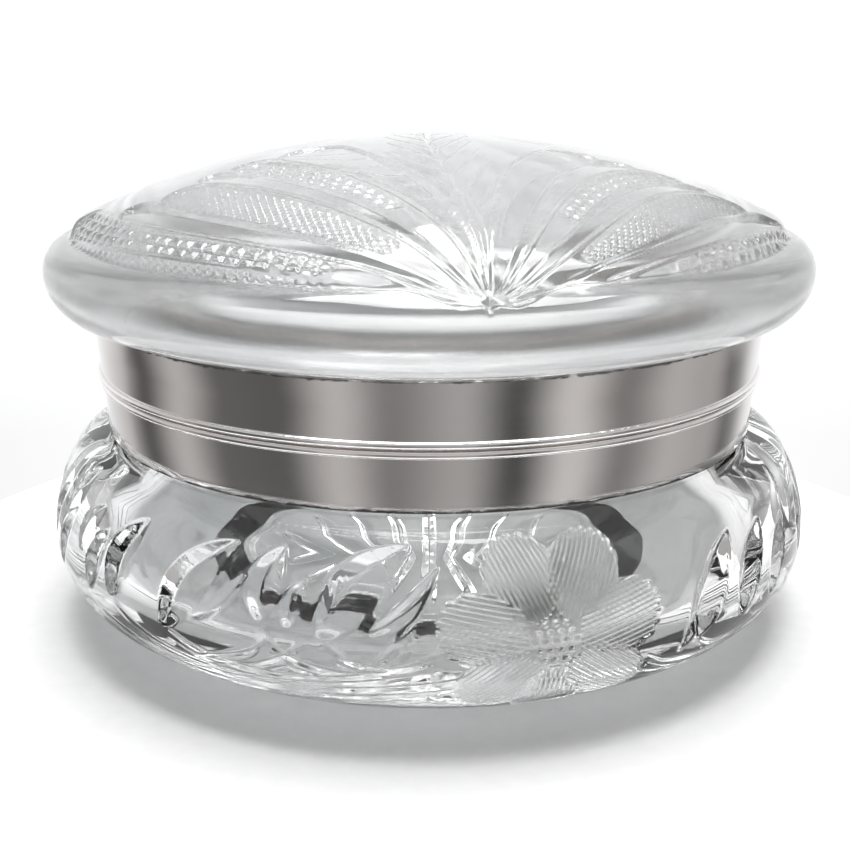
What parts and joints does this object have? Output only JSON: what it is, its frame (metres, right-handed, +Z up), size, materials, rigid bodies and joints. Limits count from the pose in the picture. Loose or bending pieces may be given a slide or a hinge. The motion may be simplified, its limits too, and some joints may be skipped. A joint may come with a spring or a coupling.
{
  "type": "powder jar",
  "caption": "Squat cut-glass dressing-table powder jar with a domed glass lid, both set in polished silver-plated bands and joined by a hinge at the back.",
  "frame": {"origin": "centre of the foot, on the surface that the jar stands on", "axes": "+Z up along the jar's axis, -Y towards the front, hinge at +Y, +X to the right seen from the front"},
  "size_m": [0.1404, 0.1404, 0.0867],
  "materials": {
    "cut_glass": "clear cut crystal, polished",
    "silver_plate": "polished silver plate, lightly tarnished",
    "hinge_steel": "drawn wire",
    "plaster_cement": "matte set plaster"
  },
  "bodies": {
    "jar": {"glass_bowl": "cut_glass", "lower_band": "silver_plate", "lower_cement": "plaster_cement", "bezel_ring": "silver_plate", "lower_edge_wire": "silver_plate", "lower_hinge_leaf": "silver_plate", "lower_knuckle_left": "silver_plate", "lower_knuckle_centre": "silver_plate", "lower_knuckle_right": "silver_plate", "hinge_pin": "hinge_steel"},
    "lid": {"glass_lid": "cut_glass", "upper_band": "silver_plate", "upper_cement": "plaster_cement", "upper_edge_wire": "silver_plate", "upper_hinge_leaf": "silver_plate", "upper_knuckle_left": "silver_plate", "upper_knuckle_right": "silver_plate"}
  },
  "joints": [
    {"name": "lid_hinge", "type": "hinge", "parent": "jar", "child": "lid", "pos_m": [0, 0.0634, 0.0457], "axis": [-1, 0, 0], "range_deg": [0, 100]}
  ]
}
